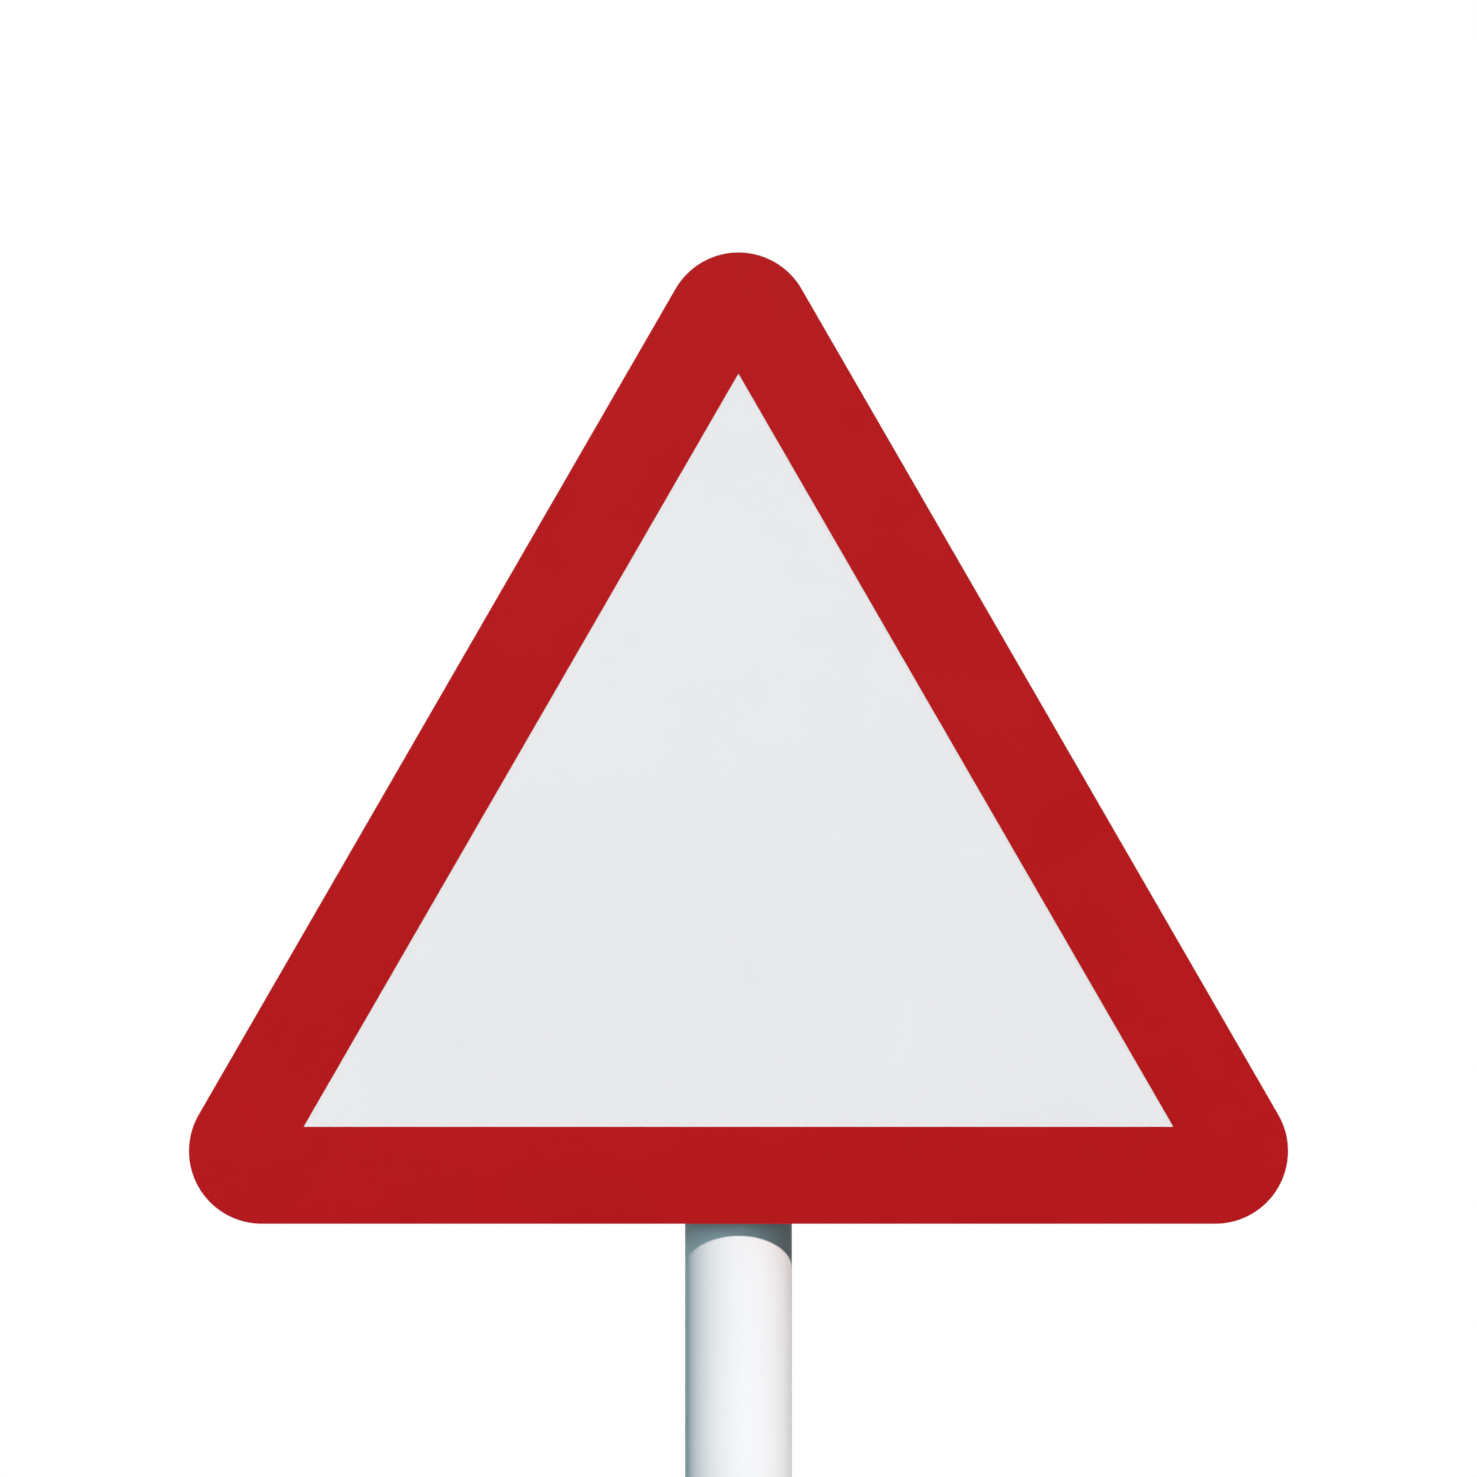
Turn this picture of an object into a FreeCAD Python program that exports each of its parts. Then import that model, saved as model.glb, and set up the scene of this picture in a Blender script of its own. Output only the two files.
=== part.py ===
import FreeCAD, Part
import math
import os
import Sketcher

# Warning triangle road sign on a round post. Millimetres, +Z up, +X along the sign's width.
# The face looks along -Y. The origin is on the post's axis at ground level.
# The outline is an equilateral triangle with rounded outer corners. Two extruded channels are taped
# to the plate's back, and pressed clips hold them to the post with bolts whose heads lie in the slots.

SIZES = {
    # Sign face
    "sign_height": 750.0,
    "corner_radius": 56.25,
    "border_width": 75.0,
    "plate_thickness": 3.0,
    "sheet_thickness": 0.4,
    "film_thickness": 0.2,
    # Post
    "post_length": 2500.0,
    "post_planted": 600.0,
    "post_radius": 41.25,
    "post_wall": 3.2,
    "coating_thickness": 0.5,
    "plate_rise": 130.0,
    "bar_hole_radius": 7.0,
    "bar_hole_height": 100.0,
    # Post cap
    "cap_clearance": 0.25,
    "cap_wall": 2.0,
    "cap_skirt": 25.0,
    "cap_roof": 2.0,
    "cap_bevel": 1.8,
    "cap_rise": 3.5,
    "cap_flat_radius": 24.0,
    "cap_rib_width": 1.6,
    "cap_rib_setback": 2.5,
    "cap_rib_count": 8,
    # Back channels and the tape under them
    "channel_base_width": 38.0,
    "channel_base_thickness": 1.8,
    "channel_wall": 2.2,
    "channel_lip": 2.2,
    "channel_edge_radius": 0.8,
    "channel_root_radius": 1.2,
    "channel_end_margin": 45.0,
    "lower_channel_height": 150.0,
    "upper_channel_drop": 300.0,
    "tape_thickness": 0.6,
    "tape_inset": 1.5,
    # Post clips
    "clip_thickness": 3.0,
    "clip_width": 30.0,
    "clip_gap": 0.8,
    "clip_bend_radius": 3.0,
    "clip_foot_margin": 4.0,
    "clip_foot_corner": 6.0,
    "clip_hole_clearance": 0.5,
    "rib_height": 2.4,
    "rib_width": 6.0,
    "rib_end_step": 0.2,
    "rib_half_angle": 62.0,
    # Bolts, washers and nuts
    "bolt_radius": 4.0,
    "bolt_protrusion": 5.8,
    "slot_clearance": 0.5,
    "hex_flats": 13.0,
    "head_height": 5.3,
    "head_clearance": 0.3,
    "head_headroom": 1.7,
    "washer_radius": 8.0,
    "washer_thickness": 1.6,
    "washer_clearance": 0.2,
    "washer_room": 2.25,
    "nut_height": 6.6,
    "nut_clearance": 0.05,
    "nut_land_step": 0.35,
}

# Derived sizes, as expressions over the sheet.
SHARP_HEIGHT = "(sizes.sign_height + sizes.corner_radius)"
SHARP_HALF = f"({SHARP_HEIGHT} / sqrt(3))"
POST_TOP = "(sizes.post_length - sizes.post_planted)"
EDGE_LEVEL = f"({POST_TOP} + sizes.plate_rise - sizes.sign_height)"
COAT_RADIUS = "(sizes.post_radius + sizes.coating_thickness)"
HEAD_SPACE = "(sizes.head_height + sizes.head_headroom)"
CHANNEL_DEPTH = f"(sizes.channel_base_thickness + {HEAD_SPACE} + sizes.channel_lip)"
TAPE_BACK = f"(-{COAT_RADIUS} - {CHANNEL_DEPTH})"
PLATE_BACK = f"({TAPE_BACK} - sizes.tape_thickness)"
SHEET_BACK = f"({PLATE_BACK} - sizes.plate_thickness)"
FILM_BACK = f"({SHEET_BACK} - sizes.sheet_thickness)"
LOWER_RISE = "sizes.lower_channel_height"
UPPER_RISE = "(sizes.sign_height - sizes.upper_channel_drop)"
LEG_FACE = f"({COAT_RADIUS} + sizes.clip_thickness)"
WASHER_EDGE = f"({LEG_FACE} + sizes.clip_bend_radius + sizes.washer_room)"
BOLT_REACH = f"({WASHER_EDGE} + sizes.washer_radius)"
FOOT_END = f"({BOLT_REACH} + sizes.washer_radius + sizes.clip_foot_margin)"
LIP_SEAT = f"(-{COAT_RADIUS} - sizes.channel_lip)"
FOOT_FRONT = f"(-{COAT_RADIUS} + sizes.clip_gap)"
FOOT_BACK = f"({FOOT_FRONT} + sizes.clip_thickness)"
NUT_SEAT = f"({FOOT_BACK} + sizes.washer_thickness)"
BOLT_TIP = f"({NUT_SEAT} + sizes.nut_height + sizes.bolt_protrusion)"
HEX_POINT = "(sizes.hex_flats / sqrt(3))"

NEAR = 0.001


def make_sheet(doc):
    """Puts every driving size in one sheet, each with its alias."""
    sheet = doc.addObject("Spreadsheet::Sheet", "sizes")
    for row, (alias, number) in enumerate(SIZES.items(), start=1):
        sheet.set(f"A{row}", alias)
        sheet.set(f"B{row}", str(number))
        sheet.setAlias(f"B{row}", alias)
    doc.recompute()
    return sheet


def value(expression):
    """The number that an expression over the sheet gives."""
    return float(FreeCAD.ActiveDocument.sizes.evalExpression(expression))


def bind(feature, **expressions):
    """Binds properties to expressions over the sheet."""
    for name, expression in expressions.items():
        feature.setExpression(name, expression)
    return feature


def make_body(name):
    body = FreeCAD.ActiveDocument.addObject("PartDesign::Body", name)
    body.Label = name
    return body


def place(piece, x="0", y="0", z="0"):
    """Binds the piece's Placement to expressions over the sheet."""
    for axis, expression in zip("xyz", (x, y, z)):
        piece.setExpression(f"Placement.Base.{axis}", expression)
    return piece


def origin_feature(body, role):
    return next(item for item in body.Origin.OriginFeatures if item.Role == role)


def new_sketch(body, role, name):
    """An empty sketch on one of the body's own origin planes."""
    sketch = body.newObject("Sketcher::SketchObject", name)
    sketch.AttachmentSupport = [(origin_feature(body, role), "")]
    sketch.MapMode = "FlatFace"
    return sketch


def hold(sketch, kind, element, point, expression):
    """Holds one coordinate of a point, or a circle's radius, at an expression."""
    target = (element,) if kind == "Radius" else (element, point)
    index = sketch.addConstraint(Sketcher.Constraint(kind, *target, value(expression)))
    sketch.setExpression(f"Constraints[{index}]", expression)


def draw_arc(sketch, start, end, sense):
    """Adds an arc about the sketch's origin, and gives the point numbers of its two ends."""
    circle = Part.Circle(FreeCAD.Vector(), FreeCAD.Vector(0, 0, 1), start.Length)
    first = math.atan2(start.y, start.x)
    last = math.atan2(end.y, end.x)
    if sense == "clockwise":
        first, last = last, first
    element = sketch.addGeometry(Part.ArcOfCircle(circle, first, last))
    sketch.addConstraint(Sketcher.Constraint("Coincident", element, 3, -1, 1))
    return (element, 1, 2) if sense == "anticlockwise" else (element, 2, 1)


def draw_outline(sketch, corners, arcs=None):
    """Draws a closed outline through corners whose coordinates are expressions.

    arcs gives the sense of each side that is an arc about the origin, by its number. Such an arc's far
    end keeps one coordinate free, because its radius already comes from its near end.
    """
    arcs = arcs or {}
    points = [FreeCAD.Vector(value(x), value(y), 0) for x, y in corners]
    sides = []
    for number, start in enumerate(points):
        end = points[(number + 1) % len(points)]
        if number in arcs:
            sides.append(draw_arc(sketch, start, end, arcs[number]))
        else:
            sides.append((sketch.addGeometry(Part.LineSegment(start, end)), 1, 2))
    for number, (x, y) in enumerate(corners):
        element, start, _ = sides[number]
        before, _, end = sides[number - 1]
        sketch.addConstraint(Sketcher.Constraint("Coincident", before, end, element, start))
        after_arc = (number - 1) % len(corners) in arcs
        if not after_arc:
            hold(sketch, "DistanceX", element, start, x)
        hold(sketch, "DistanceY", element, start, y)


def draw_rectangle(sketch, left, right, half_height):
    """Draws a rectangle that lies evenly above and below the sketch's X axis."""
    bottom = f"-({half_height})"
    corners = [(left, bottom), (right, bottom), (right, half_height), (left, half_height)]
    draw_outline(sketch, corners)


def draw_circle(sketch, radius, x="0", y="0"):
    centre = FreeCAD.Vector(value(x), value(y), 0)
    circle = Part.Circle(centre, FreeCAD.Vector(0, 0, 1), value(radius))
    element = sketch.addGeometry(circle)
    hold(sketch, "Radius", element, None, radius)
    hold(sketch, "DistanceX", element, 3, x)
    hold(sketch, "DistanceY", element, 3, y)


def pad(body, sketch, length, side="One side", reverse=False):
    """Adds the sketch's shape to the body, along the sketch's normal or against it."""
    feature = body.newObject("PartDesign::Pad", f"{sketch.Name}_pad")
    feature.Profile = sketch
    feature.SideType = side
    feature.Reversed = reverse
    bind(feature, Length=length)
    FreeCAD.ActiveDocument.recompute()
    return feature


def cut_through(body, sketch):
    """Cuts the sketch's shape out of the body both ways, and checks that something was cut."""
    before = body.Shape.Volume
    feature = body.newObject("PartDesign::Pocket", f"{sketch.Name}_cut")
    feature.Profile = sketch
    feature.SideType = "Symmetric"
    feature.Type = "ThroughAll"
    check_cut(body, before)
    return feature


def turn(body, sketch, kind, angle="360", both_ways=False):
    """Turns the sketch's shape about its vertical axis: a Revolution adds and a Groove cuts."""
    before = body.Shape.Volume if kind == "Groove" else None
    feature = body.newObject(f"PartDesign::{kind}", f"{sketch.Name}_turn")
    feature.Profile = sketch
    feature.ReferenceAxis = (sketch, ["V_Axis"])
    feature.Midplane = both_ways
    bind(feature, Angle=angle)
    if kind == "Groove":
        check_cut(body, before)
    FreeCAD.ActiveDocument.recompute()
    return feature


def check_cut(body, before):
    FreeCAD.ActiveDocument.recompute()
    if body.Shape.Volume >= before - NEAR:
        raise RuntimeError(f"{body.Label}: a cut took nothing away")


def edges_through(body, axis, places):
    """Names the straight edges along axis whose other two coordinates are in places."""
    across = [name for name in "xyz" if name != axis]
    names = []
    for number, edge in enumerate(body.Shape.Edges, start=1):
        if len(edge.Vertexes) != 2:
            continue
        start = edge.Vertexes[0].Point
        end = edge.Vertexes[1].Point
        if any(abs(getattr(start, name) - getattr(end, name)) > NEAR for name in across):
            continue
        here = [getattr(start, name) for name in across]
        if any(math.dist(here, there) < NEAR for there in places):
            names.append(f"Edge{number}")
    return names


def dress_edges(body, kind, names, expected, **size):
    """Adds a Fillet or a Chamfer on the named edges, after checking how many were found."""
    if len(names) != expected:
        raise RuntimeError(f"{body.Label}: {len(names)} edges found in place of {expected}")
    base = body.Tip
    feature = body.newObject(f"PartDesign::{kind}", f"{body.Label}_{kind}_{len(body.Group)}")
    feature.Base = (base, names)
    bind(feature, **size)
    FreeCAD.ActiveDocument.recompute()
    return feature


def round_edges(body, names, radius, expected):
    """Rounds the named edges. The radius is an expression over the sheet."""
    return dress_edges(body, "Fillet", names, expected, Radius=radius)


def bevel_edges(body, names, size, expected):
    """Bevels the named edges. The size is an expression over the sheet."""
    return dress_edges(body, "Chamfer", names, expected, Size=size)


# Sign face


def draw_triangle(sketch, inset="0"):
    """An upright equilateral triangle whose sides lie inset from the face's own sides."""
    half = f"{SHARP_HALF} - sqrt(3) * {inset}"
    apex = f"{SHARP_HEIGHT} - 2 * {inset}"
    draw_outline(sketch, [(f"-({half})", inset), (half, inset), ("0", apex)])


def make_face_layer(name, thickness, back):
    """A flat layer with the sign's rounded outline, from back forwards by its thickness."""
    body = make_body(name)
    sketch = new_sketch(body, "XZ_Plane", f"{name}_outline")
    draw_triangle(sketch)
    pad(body, sketch, thickness)
    half = value(SHARP_HALF)
    places = [(-half, 0), (half, 0), (0, value(SHARP_HEIGHT))]
    round_edges(body, edges_through(body, "y", places), "sizes.corner_radius", 3)
    return place(body, y=back, z=EDGE_LEVEL)


def make_border_film():
    """The red ring: the sign's outline with a sharp-cornered triangle cut out."""
    body = make_face_layer("red_border_film", "sizes.film_thickness", FILM_BACK)
    opening = new_sketch(body, "XZ_Plane", "border_opening")
    draw_triangle(opening, inset="sizes.border_width")
    cut_through(body, opening)
    return body


# Post


def make_post():
    """A steel tube, bare below ground and coated above it, with a cross hole for a ground bar."""
    body = make_body("post")
    profile = new_sketch(body, "XZ_Plane", "post_profile")
    bore = "sizes.post_radius - sizes.post_wall"
    foot = "-sizes.post_planted"
    corners = [
        (bore, foot),
        ("sizes.post_radius", foot),
        ("sizes.post_radius", "0"),
        (COAT_RADIUS, "0"),
        (COAT_RADIUS, POST_TOP),
        (bore, POST_TOP),
    ]
    draw_outline(profile, corners)
    turn(body, profile, "Revolution")
    hole = new_sketch(body, "YZ_Plane", "bar_hole")
    draw_circle(hole, "sizes.bar_hole_radius", y="sizes.bar_hole_height - sizes.post_planted")
    cut_through(body, hole)
    return place(body)


def make_cap_ribs(body, cap_bore):
    """Crush ribs inside the skirt, which grip the post."""
    sketch = new_sketch(body, "XY_Plane", "rib_section")
    draw_rectangle(
        sketch, COAT_RADIUS, f"{cap_bore} + sizes.cap_wall / 2", "sizes.cap_rib_width / 2"
    )
    rib = pad(body, sketch, "sizes.cap_skirt - sizes.cap_rib_setback", reverse=True)
    pattern = body.newObject("PartDesign::PolarPattern", "rib_ring")
    pattern.Originals = [rib]
    pattern.Axis = (origin_feature(body, "Z_Axis"), [""])
    pattern.Angle = 360
    bind(pattern, Occurrences="sizes.cap_rib_count")
    body.Tip = pattern
    FreeCAD.ActiveDocument.recompute()


def make_post_cap():
    """A cap whose skirt slides over the post, with its underside on the tube's end."""
    body = make_body("post_cap")
    profile = new_sketch(body, "XZ_Plane", "cap_profile")
    cap_bore = f"({COAT_RADIUS} + sizes.cap_clearance)"
    rim = f"({cap_bore} + sizes.cap_wall)"
    crest = "(sizes.cap_roof + sizes.cap_bevel + sizes.cap_rise)"
    corners = [
        ("0", "0"),
        (cap_bore, "0"),
        (cap_bore, "-sizes.cap_skirt"),
        (rim, "-sizes.cap_skirt"),
        (rim, "sizes.cap_roof"),
        (f"{rim} - sizes.cap_bevel", "sizes.cap_roof + sizes.cap_bevel"),
        ("sizes.cap_flat_radius", crest),
        ("0", crest),
    ]
    draw_outline(profile, corners)
    turn(body, profile, "Revolution")
    make_cap_ribs(body, cap_bore)
    return place(body, z=POST_TOP)


# Back channels


def channel_length(rise):
    """The plate's width at the channel's upper edge, less a margin at each end."""
    top = f"({rise} + sizes.channel_base_width / 2)"
    return f"2 * (({SHARP_HEIGHT} - {top}) / sqrt(3) - sizes.channel_end_margin)"


def make_channel(name, rise):
    """An extruded channel: a wide base, and a box with a slot between two lips."""
    body = make_body(name)
    section = new_sketch(body, "YZ_Plane", f"{name}_section")
    base = "sizes.channel_base_width / 2"
    inner = "(sizes.hex_flats / 2 + sizes.head_clearance)"
    outer = f"({inner} + sizes.channel_wall)"
    slot = "(sizes.bolt_radius + sizes.slot_clearance)"
    floor = "sizes.channel_base_thickness"
    under_lip = f"({floor} + {HEAD_SPACE})"
    upper = [
        ("0", base),
        (floor, base),
        (floor, outer),
        (CHANNEL_DEPTH, outer),
        (CHANNEL_DEPTH, slot),
        (under_lip, slot),
        (under_lip, inner),
        (floor, inner),
    ]
    lower = [(y, f"-({z})") for y, z in reversed(upper)]
    draw_outline(section, upper + lower)
    pad(body, section, channel_length(rise), side="Symmetric")
    toes = [(value(floor), side * value(base)) for side in (-1, 1)]
    shoulders = [(value(CHANNEL_DEPTH), side * value(outer)) for side in (-1, 1)]
    roots = [(value(floor), side * value(outer)) for side in (-1, 1)]
    round_edges(body, edges_through(body, "x", toes + shoulders), "sizes.channel_edge_radius", 4)
    round_edges(body, edges_through(body, "x", roots), "sizes.channel_root_radius", 2)
    return place(body, y=TAPE_BACK, z=f"{EDGE_LEVEL} + {rise}")


def make_channel_tape(name, rise):
    """The foam tape strip between the channel's base and the plate."""
    body = make_body(name)
    sketch = new_sketch(body, "XZ_Plane", f"{name}_outline")
    half_length = f"(({channel_length(rise)}) / 2 - sizes.tape_inset)"
    half_width = "(sizes.channel_base_width / 2 - sizes.tape_inset)"
    draw_rectangle(sketch, f"-{half_length}", half_length, half_width)
    pad(body, sketch, "sizes.tape_thickness")
    return place(body, y=TAPE_BACK, z=f"{EDGE_LEVEL} + {rise}")


# Post clips


def make_clip(name, rise):
    """A pressed strap: half round the post, two straight legs and two feet with bolt holes."""
    body = make_body(name)
    outline = new_sketch(body, "XY_Plane", f"{name}_outline")
    corners = [
        (COAT_RADIUS, "0"),
        (f"-{COAT_RADIUS}", "0"),
        (f"-{COAT_RADIUS}", FOOT_FRONT),
        (f"-{FOOT_END}", FOOT_FRONT),
        (f"-{FOOT_END}", FOOT_BACK),
        (f"-{LEG_FACE}", FOOT_BACK),
        (f"-{LEG_FACE}", "0"),
        (LEG_FACE, "0"),
        (LEG_FACE, FOOT_BACK),
        (FOOT_END, FOOT_BACK),
        (FOOT_END, FOOT_FRONT),
        (COAT_RADIUS, FOOT_FRONT),
    ]
    draw_outline(outline, corners, arcs={0: "anticlockwise", 6: "clockwise"})
    pad(body, outline, "sizes.clip_width", side="Symmetric")
    press_rib(body, name)
    inside = [(side * value(LEG_FACE), value(FOOT_BACK)) for side in (-1, 1)]
    outside = [(side * value(COAT_RADIUS), value(FOOT_FRONT)) for side in (-1, 1)]
    outer_bend = "sizes.clip_bend_radius + sizes.clip_thickness"
    round_edges(body, edges_through(body, "z", inside), "sizes.clip_bend_radius", 2)
    round_edges(body, edges_through(body, "z", outside), outer_bend, 2)
    half_width = value("sizes.clip_width / 2")
    end = value(FOOT_END)
    tips = [(x, z) for x in (-end, end) for z in (-half_width, half_width)]
    round_edges(body, edges_through(body, "y", tips), "sizes.clip_foot_corner", 4)
    holes = new_sketch(body, "XZ_Plane", f"{name}_holes")
    for side in ("-", ""):
        draw_circle(holes, "sizes.bolt_radius + sizes.clip_hole_clearance", x=side + BOLT_REACH)
    cut_through(body, holes)
    return place(body, z=f"{EDGE_LEVEL} + {rise}")


def press_rib(body, name):
    """A stiffening rib pressed out round the strap's back, sloped at its ends and hollow inside."""
    turn_rib(body, f"{name}_rib", LEG_FACE, "0", "Revolution")
    crest = value(f"{LEG_FACE} + sizes.rib_height")
    angle = math.radians(value("sizes.rib_half_angle"))
    places = [(side * crest * math.sin(angle), crest * math.cos(angle)) for side in (-1, 1)]
    slope = "sizes.rib_height - sizes.rib_end_step"
    bevel_edges(body, edges_through(body, "z", places), slope, 2)
    flank_offset = "(sizes.clip_thickness * tan(22.5))"
    turn_rib(body, f"{name}_hollow", COAT_RADIUS, flank_offset, "Groove")


def turn_rib(body, name, wall, inset, kind):
    """Turns the rib's section, with flanks at 45 degrees, round the part of the strap that it covers."""
    section = new_sketch(body, "YZ_Plane", name)
    crest = f"(sizes.rib_width / 2 - {inset})"
    foot = f"({crest} + sizes.rib_height)"
    corners = [
        (wall, f"-{foot}"),
        (f"{wall} + sizes.rib_height", f"-{crest}"),
        (f"{wall} + sizes.rib_height", crest),
        (wall, foot),
    ]
    draw_outline(section, corners)
    turn(body, section, kind, angle="2 * sizes.rib_half_angle", both_ways=True)


# Bolts, washers and nuts, each modelled along +Y from its own seat


def draw_hexagon(sketch):
    """A hexagon with two flats level, so that a channel's walls keep it from turning."""
    flat = "sizes.hex_flats / 2"
    corners = [
        (HEX_POINT, "0"),
        (f"{HEX_POINT} / 2", flat),
        (f"-{HEX_POINT} / 2", flat),
        (f"-{HEX_POINT}", "0"),
        (f"-{HEX_POINT} / 2", f"-{flat}"),
        (f"{HEX_POINT} / 2", f"-{flat}"),
    ]
    draw_outline(sketch, corners)


def chamfer_nut(body, name):
    """Turns the corners of the nut's outer face down to a cone."""
    sketch = new_sketch(body, "XY_Plane", f"{name}_cone")
    start = "(sizes.hex_flats / 2 - sizes.nut_land_step)"
    reach = f"({HEX_POINT} + 1)"
    level = "sizes.nut_height"
    fall = f"({reach} - {start}) * tan(30)"
    draw_outline(sketch, [(start, level), (reach, level), (reach, f"{level} - {fall}")])
    turn(body, sketch, "Groove")


def make_bolt(name, x, z):
    """A hexagon bolt whose head lies in the channel and whose shank points away from the plate."""
    body = make_body(name)
    head = new_sketch(body, "XZ_Plane", f"{name}_head")
    draw_hexagon(head)
    pad(body, head, "sizes.head_height")
    shank = new_sketch(body, "XZ_Plane", f"{name}_shank")
    draw_circle(shank, "sizes.bolt_radius")
    pad(body, shank, f"{BOLT_TIP} - {LIP_SEAT}", reverse=True)
    return place(body, x=x, y=LIP_SEAT, z=z)


def make_washer(name, x, z):
    body = make_body(name)
    ring = new_sketch(body, "XZ_Plane", f"{name}_ring")
    draw_circle(ring, "sizes.washer_radius")
    draw_circle(ring, "sizes.bolt_radius + sizes.washer_clearance")
    pad(body, ring, "sizes.washer_thickness", reverse=True)
    return place(body, x=x, y=FOOT_BACK, z=z)


def make_nut(name, x, z):
    body = make_body(name)
    section = new_sketch(body, "XZ_Plane", f"{name}_section")
    draw_hexagon(section)
    draw_circle(section, "sizes.bolt_radius + sizes.nut_clearance")
    pad(body, section, "sizes.nut_height", reverse=True)
    chamfer_nut(body, name)
    return place(body, x=x, y=NUT_SEAT, z=z)


def make_fixings(level, rise):
    """The two bolts, washers and nuts that hold one clip to its channel."""
    pieces = []
    height = f"{EDGE_LEVEL} + {rise}"
    for side, sign in (("left", "-"), ("right", "")):
        reach = sign + BOLT_REACH
        pieces.append(make_bolt(f"{level}_{side}_bolt", reach, height))
        pieces.append(make_washer(f"{level}_{side}_washer", reach, height))
        pieces.append(make_nut(f"{level}_{side}_nut", reach, height))
    return pieces


def make_level(level, rise):
    """One channel with its tape, clip and fixings."""
    return [
        make_channel(f"{level}_channel", rise),
        make_channel_tape(f"{level}_channel_tape", rise),
        make_clip(f"{level}_post_clip", rise),
        *make_fixings(level, rise),
    ]


def check_document(doc, pieces):
    """Stops if any object failed or any piece is not one sound solid."""
    doc.recompute()
    failed = [item.Name for item in doc.Objects if {"Invalid", "Error"} & set(item.State)]
    if failed:
        raise RuntimeError(f"failed objects: {failed}")
    for piece in pieces:
        shape = piece.Shape
        if shape.isNull() or not shape.isValid() or len(shape.Solids) != 1:
            raise RuntimeError(f"{piece.Label} is not one sound solid")


def main():
    doc = FreeCAD.newDocument("warning_triangle")
    make_sheet(doc)
    pieces = [
        make_face_layer("sign_plate", "sizes.plate_thickness", PLATE_BACK),
        make_face_layer("white_reflective_sheet", "sizes.sheet_thickness", SHEET_BACK),
        make_border_film(),
        make_post(),
        make_post_cap(),
        *make_level("lower", LOWER_RISE),
        *make_level("upper", UPPER_RISE),
    ]
    check_document(doc, pieces)
    os.makedirs("parts", exist_ok=True)
    for piece in pieces:
        piece.Shape.exportStep(f"parts/{piece.Label}.step")
    print(len(pieces), "pieces written")


main()
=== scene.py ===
import math

import bmesh
import bpy
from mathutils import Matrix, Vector
from mathutils.geometry import delaunay_2d_cdt


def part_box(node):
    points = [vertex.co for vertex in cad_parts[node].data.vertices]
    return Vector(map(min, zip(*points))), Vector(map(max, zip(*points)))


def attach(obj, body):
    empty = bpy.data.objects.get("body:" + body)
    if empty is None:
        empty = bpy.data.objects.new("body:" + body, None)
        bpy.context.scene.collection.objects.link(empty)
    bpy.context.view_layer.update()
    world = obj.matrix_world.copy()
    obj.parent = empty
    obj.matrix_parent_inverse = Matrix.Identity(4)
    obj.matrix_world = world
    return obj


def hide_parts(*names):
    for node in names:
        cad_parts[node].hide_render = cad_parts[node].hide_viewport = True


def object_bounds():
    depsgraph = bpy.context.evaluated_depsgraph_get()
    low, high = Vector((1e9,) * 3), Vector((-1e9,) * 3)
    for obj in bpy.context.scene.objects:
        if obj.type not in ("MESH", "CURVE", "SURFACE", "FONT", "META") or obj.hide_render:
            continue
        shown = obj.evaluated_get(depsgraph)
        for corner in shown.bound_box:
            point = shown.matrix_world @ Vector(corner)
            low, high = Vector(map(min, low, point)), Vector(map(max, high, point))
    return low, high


# Looks of a warning triangle road sign. Metres, +Z up, the face looks along -Y.

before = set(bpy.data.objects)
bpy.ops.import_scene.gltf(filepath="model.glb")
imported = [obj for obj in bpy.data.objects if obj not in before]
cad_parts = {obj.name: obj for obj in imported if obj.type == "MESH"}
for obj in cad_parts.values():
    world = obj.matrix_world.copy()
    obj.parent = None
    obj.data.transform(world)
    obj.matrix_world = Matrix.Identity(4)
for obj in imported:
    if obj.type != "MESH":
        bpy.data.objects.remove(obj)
cad_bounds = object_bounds()

# Photograph: the sign's upper and lower limits in it give the scale and the camera's height.
PHOTO_SIZE = 1477
SIGN_TOP_PIXEL = 252.3
SIGN_FOOT_PIXEL = 1223.9
CAMERA_DISTANCE = 4.5
SENSOR_WIDTH = 36.0

# Lamps: azimuth 0 is on the camera's side and 90 to its right.
LAMPS = {
    "key": dict(azimuth=18.5, elevation=33.6, spread=2.0, power=3.28, color=(1.0, 0.841, 0.817)),
    "rear": dict(azimuth=184.0, elevation=28.0, spread=14.0, power=2.6, color=(1.0, 0.97, 0.94)),
    "fill": dict(azimuth=-35.0, elevation=4.0, spread=60.0, power=1.41, color=(0.525, 0.9, 1.0)),
    "side": dict(azimuth=60.0, elevation=40.0, spread=40.0, power=0.44, color=(0.14, 0.82, 1.0)),
}

# Sky and floor. The sky's front and rear tones run into each other over AMBIENT_BLEND each way.
AMBIENT_LEFT = (0.05, 0.07, 0.08)
AMBIENT_RIGHT = (0.03, 0.06, 0.07)
AMBIENT_REAR = (0.1, 0.105, 0.11)
AMBIENT_TOP = (0.04, 0.05, 0.055)
AMBIENT_BLEND = 0.3
FLOOR_RADIUS = 40.0
FLOOR_FADE_START = 5.0
FLOOR_FADE_END = 11.0
FLOOR_ROUGHNESS = 0.9
FLOOR_COLOR = (0.79, 0.8, 0.805)
FLOOR_BOUNCE = (0.04, 0.05, 0.055)
WHITE = (1.0, 1.0, 1.0, 1.0)

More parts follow.
